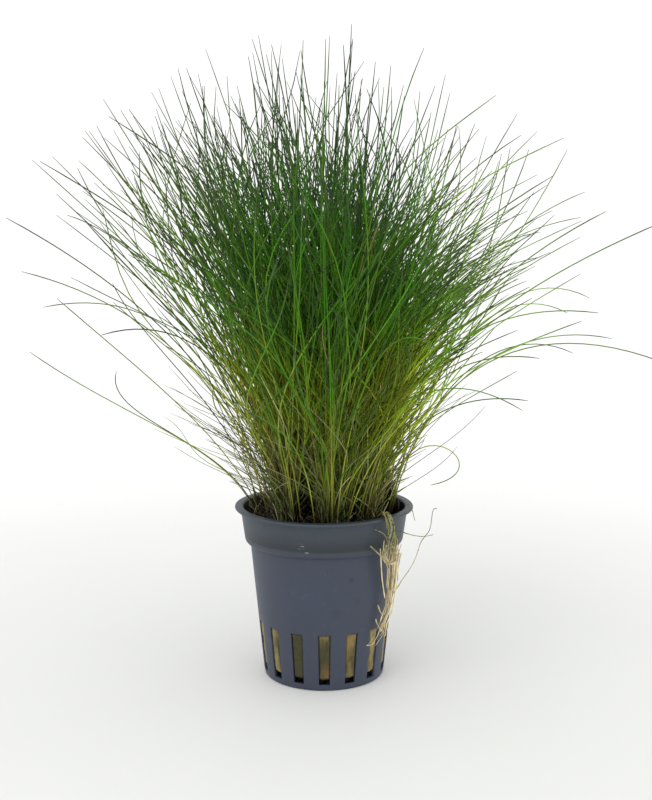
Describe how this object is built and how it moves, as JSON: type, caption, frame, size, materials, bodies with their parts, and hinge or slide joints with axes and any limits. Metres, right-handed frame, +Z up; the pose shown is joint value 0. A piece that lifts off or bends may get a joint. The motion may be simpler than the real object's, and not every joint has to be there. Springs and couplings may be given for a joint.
{
  "type": "dwarf hairgrass in a net pot",
  "caption": "Dwarf hairgrass, a dense fan of thin round stems, rooted in a rock-wool plug in a slotted net pot with a rolled lip.",
  "frame": {"origin": "on the pot's axis, at the underside of its floor", "axes": "+Z up along the pot's axis, -Y towards the front of the plant, +X to the right seen from the front"},
  "size_m": [0.1835, 0.1762, 0.1931],
  "materials": {
    "pot_plastic": "satin",
    "rock_wool": "matte",
    "dark_wool": "matte",
    "grass": "matte",
    "long_stem": "matte",
    "dry_runner": "matte"
  },
  "bodies": {
    "root": {"net_pot": "pot_plastic", "rock_wool_plug": "rock_wool", "raised_wool_flap": "dark_wool", "clump_middle": "grass", "clump_ring_1": "grass", "clump_ring_2": "grass", "clump_ring_3": "grass", "clump_ring_4": "grass", "clump_ring_5": "grass", "long_stem_left_1": "long_stem", "long_stem_left_2": "long_stem", "long_stem_left_3": "long_stem", "long_stem_left_4": "long_stem", "long_stem_left_5": "long_stem", "long_stem_left_6": "long_stem", "long_stem_left_7": "long_stem", "long_stem_left_8": "long_stem", "long_stem_left_9": "long_stem", "long_stem_right_1": "long_stem", "long_stem_right_2": "long_stem", "long_stem_right_3": "long_stem", "long_stem_right_4": "long_stem", "long_stem_right_5": "long_stem", "long_stem_right_6": "long_stem", "long_stem_right_7": "long_stem", "long_stem_right_8": "long_stem", "long_stem_right_9": "long_stem", "long_stem_front_1": "long_stem", "long_stem_front_2": "long_stem", "long_stem_front_3": "long_stem", "long_stem_front_4": "long_stem", "long_stem_front_5": "long_stem", "long_stem_back_1": "long_stem", "long_stem_back_2": "long_stem", "long_stem_back_3": "long_stem", "long_stem_back_4": "long_stem", "long_stem_back_5": "long_stem", "long_stem_back_6": "long_stem", "dry_runner_1": "dry_runner", "dry_runner_2": "dry_runner", "dry_runner_3": "dry_runner", "dry_runner_4": "dry_runner", "dry_runner_5": "dry_runner"}
  },
  "joints": []
}
